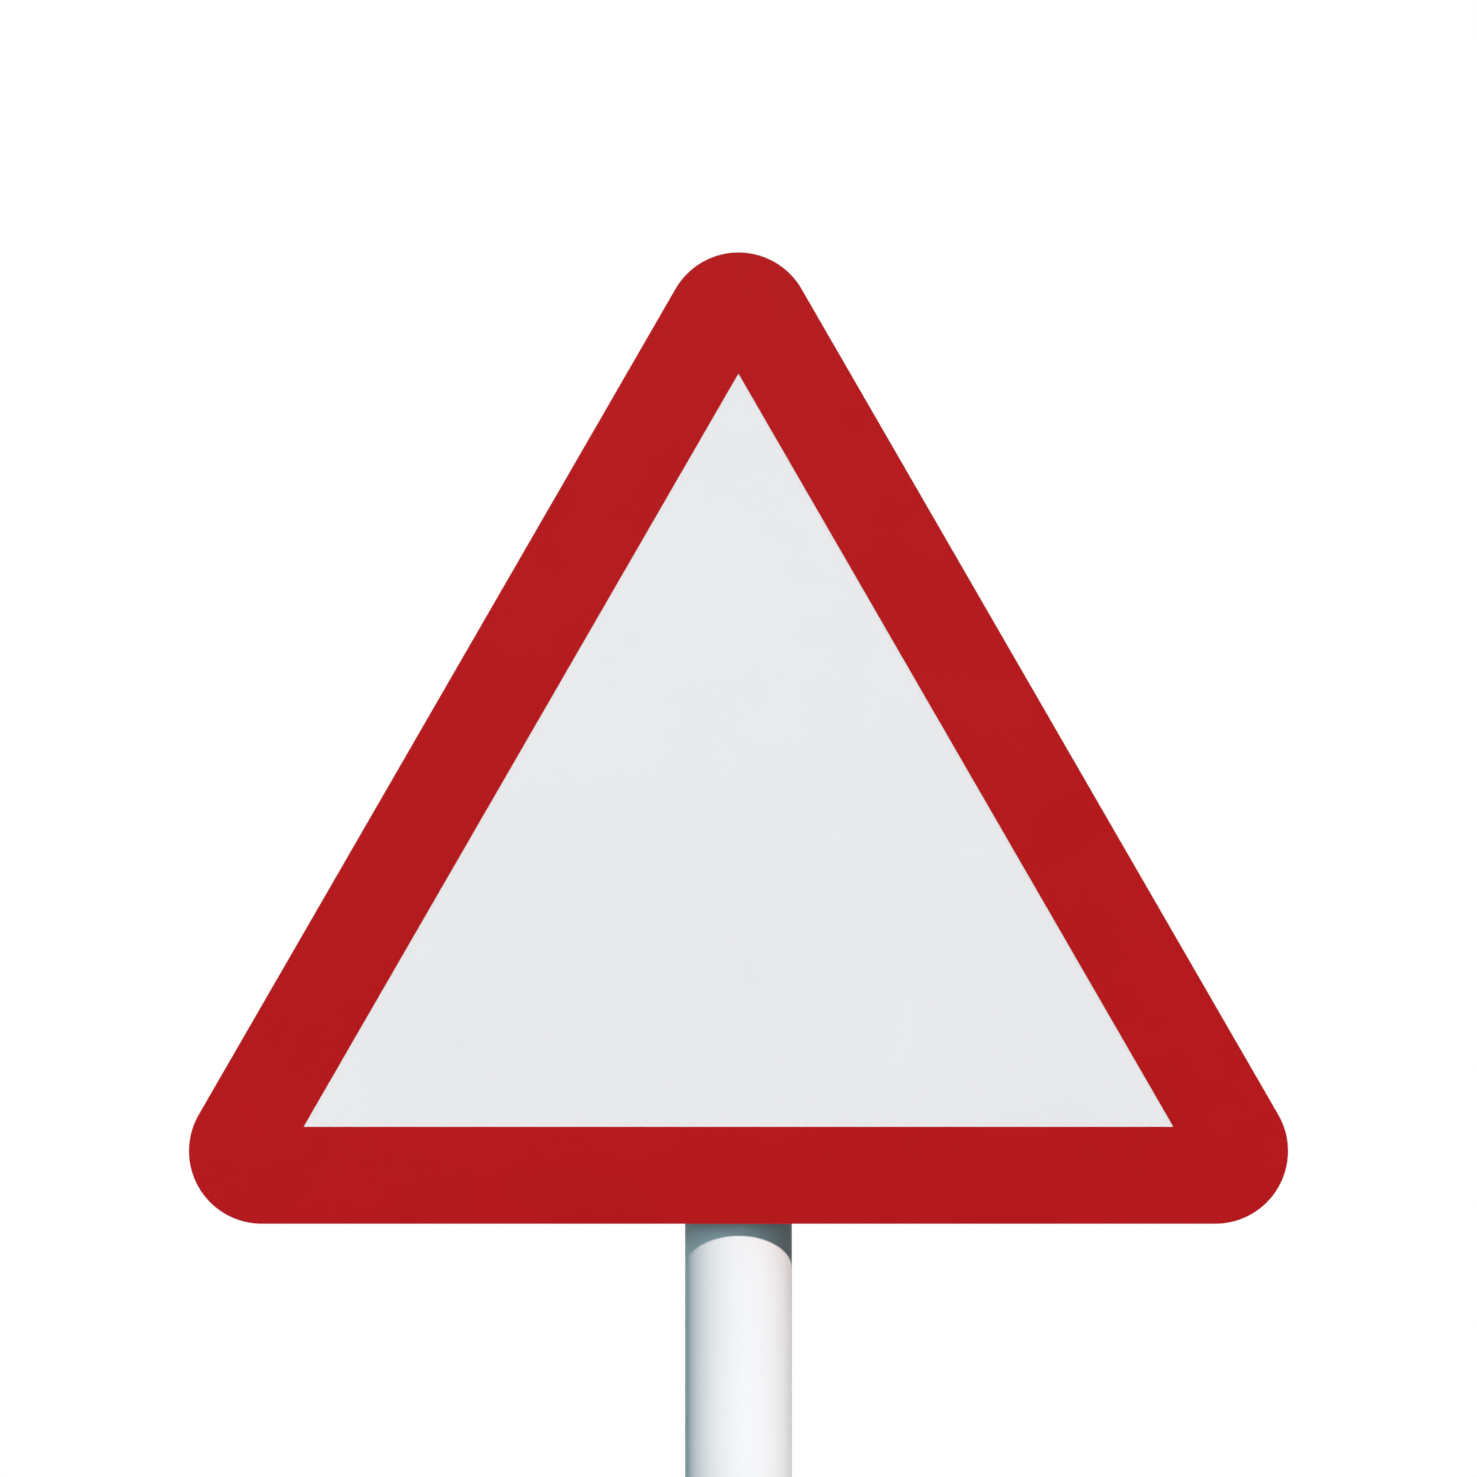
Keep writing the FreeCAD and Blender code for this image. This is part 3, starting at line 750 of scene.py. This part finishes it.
def strap_point(along, across, depth):
    """Bends a point of the flat strap into the clip: round the post, down a leg and out into a foot.

    along runs from the middle of the clip's back, and depth from the face that touches the post.
    """
    side = math.copysign(1.0, along)
    along = abs(along)
    if along < CLIP_ARC_LENGTH:
        angle = along / (CLIP_RADIUS + CLIP_THICKNESS / 2)
        reach = CLIP_RADIUS + depth + rib_lift(angle, across, depth)
        return Vector((side * reach * math.sin(angle), reach * math.cos(angle), across))
    along -= CLIP_ARC_LENGTH
    if along < CLIP_LEG:
        return Vector((side * (CLIP_RADIUS + depth), -along, across))
    along -= CLIP_LEG
    if along < CLIP_BEND_LENGTH:
        angle = along / CLIP_BEND_LENGTH * math.pi / 2
        reach = CLIP_BEND + CLIP_THICKNESS - depth
        x = CLIP_BEND_CENTRE - reach * math.cos(angle)
        return Vector((side * x, -CLIP_LEG - reach * math.sin(angle), across))
    along -= CLIP_BEND_LENGTH
    return Vector((side * (CLIP_BEND_CENTRE + along), CLIP_GAP - CLIP_RADIUS + depth, across))


def strap_outline(length, inset):
    """The flat strap's outline: a quarter, mirrored both ways, with points where the bends need them."""
    half = CLIP_WIDTH / 2 - inset
    radius = CLIP_CORNER - inset
    run = length - inset - radius
    quarter = [(run * step / CLIP_STEPS, half) for step in range(CLIP_STEPS)]
    for step in range(CLIP_CORNER_STEPS + 1):
        turn = math.pi / 2 * step / CLIP_CORNER_STEPS
        quarter.append((run + radius * math.sin(turn), half - radius + radius * math.cos(turn)))
    outline = [Vector(point) for point in quarter]
    outline += [Vector((x, -y)) for x, y in reversed(quarter)]
    outline += [Vector((-x, -y)) for x, y in quarter[1:]]
    outline += [Vector((-x, y)) for x, y in reversed(quarter[1:])]
    return outline


def strap_hole(centre, radius):
    """A round hole in the flat strap."""
    return [
        Vector((centre + radius * math.cos(turn), radius * math.sin(turn)))
        for turn in round_angles(CLIP_HOLE_STEPS)
    ]


def fill_strap(bm, paths, depth):
    """One face of the strap, as triangles between its outline, its holes and rows of points."""
    points = []
    edges = []
    owners = []
    for number, path in enumerate(paths):
        start = len(points)
        count = len(path)
        points += path
        edges += [(start + n, start + (n + 1) % count) for n in range(count)]
        owners += [number] * count
    run = max(point.x for point in paths[0])
    half = max(point.y for point in paths[0])
    centres = [sum(path, Vector((0.0, 0.0))) / len(path) for path in paths[1:]]
    for column in range(-CLIP_STEPS, CLIP_STEPS + 1):
        along = column * (run - CLIP_CORNER) / CLIP_STEPS
        for row in CLIP_ROWS:
            spot = Vector((along, row * half))
            if all((spot - centre).length > CLIP_HOLE_MARGIN for centre in centres):
                points.append(spot)
    result = delaunay_2d_cdt(points, edges, [], INSIDE_TRIANGLES, TOUCHING / 10)
    flat, _, faces, origins, _, _ = result
    made = [bm.verts.new(strap_point(point.x, point.y, depth)) for point in flat]
    loops = [[] for _ in paths]
    owner_of = {}
    for origin, number in enumerate(owners):
        place = next(n for n, group in enumerate(origins) if origin in group)
        owner_of[place] = number
        loops[number].append(made[place])
    # A triangle with all its corners on one hole's edge lies in that hole
    holes = [{number} for number in range(1, len(paths))]
    for face in faces:
        if {owner_of.get(n) for n in face} not in holes:
            bm.faces.new([made[n] for n in face])
    return loops


def make_clip(name, node, bolt, material):
    """A pressed strap: a flat sheet with rounded corners and two holes, thickened, bent and ribbed."""
    low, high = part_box(node)
    bolt_low, bolt_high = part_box(bolt)
    bolt_reach = abs(bolt_low.x + bolt_high.x) / 2
    length = CLIP_FOOT_START + high.x - CLIP_BEND_CENTRE
    hole = CLIP_FOOT_START + bolt_reach - CLIP_BEND_CENTRE
    layers = (
        (0.0, CLIP_EDGE),
        (CLIP_EDGE, 0.0),
        (CLIP_THICKNESS - CLIP_EDGE, 0.0),
        (CLIP_THICKNESS, CLIP_EDGE),
    )
    bm = bmesh.new()
    stacks = []
    for depth, inset in layers:
        paths = [strap_outline(length, inset)]
        paths += [strap_hole(side * hole, CLIP_HOLE_RADIUS + inset) for side in (-1, 1)]
        if inset:
            loops = fill_strap(bm, paths, depth)
        else:
            loops = [[bm.verts.new(strap_point(p.x, p.y, depth)) for p in path] for path in paths]
        stacks.append(loops)
    for lower, upper in zip(stacks, stacks[1:]):
        for first, second in zip(lower, upper):
            bridge(bm, first, second)
    bmesh.ops.translate(bm, verts=bm.verts, vec=(0.0, 0.0, (low.z + high.z) / 2))
    return new_piece(name, bm, material, smooth_angle=50.0)


# Fasteners


def bolt_point(centre, radius, level, angle):
    """A point about a bolt's axis, which runs along Y."""
    return Vector((centre.x + radius * math.cos(angle), level, centre.z + radius * math.sin(angle)))


def bolt_ring(centre, radius, level):
    """A round ring about a bolt's axis."""
    return [bolt_point(centre, radius, level, angle) for angle in round_angles(ROUND_STEPS)]


def hex_ring(centre, across_flats, level, cone):
    """A ring round a hexagon, which follows the cone turned on its faces.

    Its corners point up and down, a twelfth of a turn from those of the solids. cone is 1 on the face
    at the lower Y, -1 on the other, and 0 where none is turned.
    """
    points = []
    for angle in round_angles(ROUND_STEPS):
        turn = (angle - math.pi / 6) % (math.pi / 3) - math.pi / 6
        reach = across_flats / 2 / math.cos(turn)
        drop = max(0.0, (reach - HEX_LAND) * HEX_SLOPE)
        points.append(bolt_point(centre, reach, level + cone * drop, angle))
    return points


def make_nut(name, node, material):
    """A hexagon nut with both faces turned down to a cone and a countersunk bore."""
    low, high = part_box(node)
    centre = (low + high) / 2
    flats = high.z - low.z
    bore = THREAD_RADIUS + NUT_PLAY
    rings = [
        bolt_ring(centre, bore, low.y + NUT_SINK),
        bolt_ring(centre, bore + NUT_SINK, low.y),
        bolt_ring(centre, HEX_LAND, low.y),
        hex_ring(centre, flats, low.y, 1),
        hex_ring(centre, flats, high.y, -1),
        bolt_ring(centre, HEX_LAND, high.y),
        bolt_ring(centre, bore + NUT_SINK, high.y),
        bolt_ring(centre, bore, high.y - NUT_SINK),
    ]
    bm = bmesh.new()
    join_rings(bm, rings, closed=True)
    return new_piece(name, bm, material)


def make_washer(name, node, material):
    """A flat washer with edges rounded by stamping."""
    low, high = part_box(node)
    centre = (low + high) / 2
    outer = (high.x - low.x) / 2
    corners = [
        Vector((WASHER_BORE, low.y)),
        Vector((outer, low.y)),
        Vector((outer, high.y)),
        Vector((WASHER_BORE, high.y)),
    ]
    profile = rounded_path(corners, [WASHER_EDGE] * 4, WASHER_EDGE_STEPS)
    bm = bmesh.new()
    join_rings(bm, [bolt_ring(centre, point.x, point.y) for point in profile], closed=True)
    return new_piece(name, bm, material)


def make_bolt(name, node, material):
    """A fully threaded hexagon bolt. Its rows of points follow the thread, so the crests stay crisp."""
    low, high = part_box(node)
    centre = (low + high) / 2
    flats = high.z - low.z
    seat = low.y + HEAD_HEIGHT
    rings = [
        bolt_ring(centre, HEX_LAND, low.y),
        hex_ring(centre, flats, low.y, 1),
        hex_ring(centre, flats, seat, 0),
    ]
    bm = bmesh.new()
    join_rings(bm, rings)
    make_thread(bm, centre, seat, high.y)
    return new_piece(name, bm, material, smooth_angle=25.0)


def make_thread(bm, centre, start, end):
    """The threaded shank from start to end along Y, run out at the head and turned down at the tip."""
    turns = math.ceil((end - start) / THREAD_PITCH) + 2
    rows = []
    for turn in range(turns):
        for share, radius in THREAD_SHAPE:
            base = start - THREAD_PITCH + (turn + share) * THREAD_PITCH
            row = []
            for step in range(THREAD_STEPS + 1):
                level = min(max(base + THREAD_PITCH * step / THREAD_STEPS, start), end)
                cone = min(TIP_RADIUS + end - level, THREAD_ROOT + level - start)
                angle = 2 * math.pi * step / THREAD_STEPS
                row.append(bm.verts.new(bolt_point(centre, min(radius, cone), level, angle)))
            rows.append(row)
    for low, high in zip(rows, rows[1:]):
        for step in range(THREAD_STEPS):
            bm.faces.new((low[step], low[step + 1], high[step + 1], high[step]))
    bmesh.ops.remove_doubles(bm, verts=[vert for row in rows for vert in row], dist=TOUCHING)
    bmesh.ops.holes_fill(bm, edges=[edge for edge in bm.edges if edge.is_boundary])


# Stage


def make_sun(name, azimuth, elevation, spread, power, color):
    """A distant lamp, given by where it stands."""
    lamp = bpy.data.lights.new(name, "SUN")
    lamp.energy = power
    lamp.angle = math.radians(spread)
    lamp.color = color
    turn = math.radians(azimuth)
    rise = math.radians(elevation)
    towards = Vector((
        math.sin(turn) * math.cos(rise), -math.cos(turn) * math.cos(rise), math.sin(rise)
    ))
    sun = bpy.data.objects.new(name, lamp)
    sun.rotation_euler = towards.to_track_quat("Z", "Y").to_euler()
    bpy.context.scene.collection.objects.link(sun)
    return sun


def make_lamps():
    """A warm key from the right, a lamp from behind, and bluish fills from the left and the right."""
    suns = {name: make_sun(name, **values) for name, values in LAMPS.items()}
    suns["rear"].visible_glossy = False


def make_world():
    """White where it is seen or mirrored, and a faint bluish sky where it lights the sign."""
    world = bpy.data.worlds.new("studio")
    bpy.context.scene.world = world
    world.use_nodes = True
    sky = Nodes(world.node_tree)
    sky.tree.nodes.clear()
    direction = sky.node("ShaderNodeTexCoord").outputs["Generated"]
    along = sky.node("ShaderNodeSeparateXYZ", None, {0: direction}).outputs
    tone = shade(AMBIENT_LEFT)
    for axis, start, end, color in (
        ("X", -1.0, 1.0, AMBIENT_RIGHT),
        ("Y", -AMBIENT_BLEND, AMBIENT_BLEND, AMBIENT_REAR),
        ("Z", 0.0, 1.0, AMBIENT_TOP),
    ):
        share = sky.spread(along[axis], low=0.0, high=1.0, start=start, end=end)
        tone = sky.blend(share, tone, shade(color))
    lighting = sky.node("ShaderNodeBackground", None, {"Color": tone}).outputs[0]
    backdrop = sky.node("ShaderNodeBackground", None, {"Color": WHITE}).outputs[0]
    shown = sky.mix(sky.watched(), lighting, backdrop)
    sky.node("ShaderNodeOutputWorld", None, {"Surface": shown})


def make_floor():
    """A pale floor under the post's foot that turns to plain white far from the sign."""
    surface = Surface("floor", Roughness=FLOOR_ROUGHNESS)
    seen = surface.watched()
    distance = surface.vector("LENGTH", {0: surface.place}, "Value")
    far = surface.spread(distance, low=0.0, high=1.0, start=FLOOR_FADE_START, end=FLOOR_FADE_END)
    surface.feed("Base Color", surface.blend(seen, shade(FLOOR_BOUNCE), shade(FLOOR_COLOR)))
    white = surface.node("ShaderNodeEmission", None, {"Color": WHITE}).outputs[0]
    faded = surface.mix(surface.combine("MULTIPLY", far, seen), surface.shader.outputs[0], white)
    surface.tree.links.new(faded, surface.tree.nodes["Material Output"].inputs["Surface"])
    bm = bmesh.new()
    bm.faces.new([bm.verts.new(point) for point in post_ring(FLOOR_RADIUS, cad_bounds[0].z)])
    floor = new_object("floor", bm, surface.material)


def make_camera():
    """Looks square at the face, from the level of the photograph's middle."""
    low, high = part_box("sign_plate")
    scale = (high.z - low.z) / (SIGN_FOOT_PIXEL - SIGN_TOP_PIXEL)
    front = cad_bounds[0].y
    level = low.z + (SIGN_FOOT_PIXEL - PHOTO_SIZE / 2) * scale
    data = bpy.data.cameras.new("camera")
    data.sensor_width = SENSOR_WIDTH
    data.lens = SENSOR_WIDTH * CAMERA_DISTANCE / (PHOTO_SIZE * scale)
    camera = bpy.data.objects.new("camera", data)
    camera.location = (0.0, front - CAMERA_DISTANCE, level)
    camera.rotation_euler = (math.pi / 2, 0.0, 0.0)
    bpy.context.scene.collection.objects.link(camera)
    bpy.context.scene.camera = camera


def make_face():
    """The plate and what is stuck on its front."""
    plate = make_face_layer("plate", "sign_plate", make_rolled_aluminium(), PLATE_EDGE)
    stand_in(plate, "sign_plate")
    sheeting = make_face_layer("sheeting", "white_reflective_sheet", make_white_sheeting(), SHEET_EDGE)
    stand_in(sheeting, "white_reflective_sheet")
    stand_in(make_border(make_red_film()), "red_border_film")


def make_post():
    """The tube, its coating and the cap."""
    steel = make_galvanised("galvanised_post", cell_scale=90.0, brightness=0.85)
    stand_in(make_tube(steel), "post")
    stand_in(make_coating(make_post_coating()), "post")
    stand_in(make_cap(make_cap_plastic()), "post_cap")


def make_fixings():
    """What holds the plate to the post: the channels and tapes are the nodes themselves."""
    channel = make_extruded_aluminium()
    tape = make_foam_tape()
    clip = make_galvanised("galvanised_clip", cell_scale=160.0, brightness=1.0)
    zinc = make_zinc_plate()
    for level in ("lower", "upper"):
        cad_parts[f"{level}_channel"].data.materials[0] = channel
        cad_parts[f"{level}_channel_tape"].data.materials[0] = tape
        node = f"{level}_post_clip"
        stand_in(make_clip(f"{level}_clip", node, f"{level}_right_bolt", clip), node)
        for side in ("left", "right"):
            for kind, make in (("bolt", make_bolt), ("washer", make_washer), ("nut", make_nut)):
                node = f"{level}_{side}_{kind}"
                stand_in(make(f"{node}_detail", node, zinc), node)


make_face()
make_post()
make_fixings()
make_world()
make_lamps()
make_floor()
make_camera()
bpy.context.scene.view_settings.view_transform = "Standard"
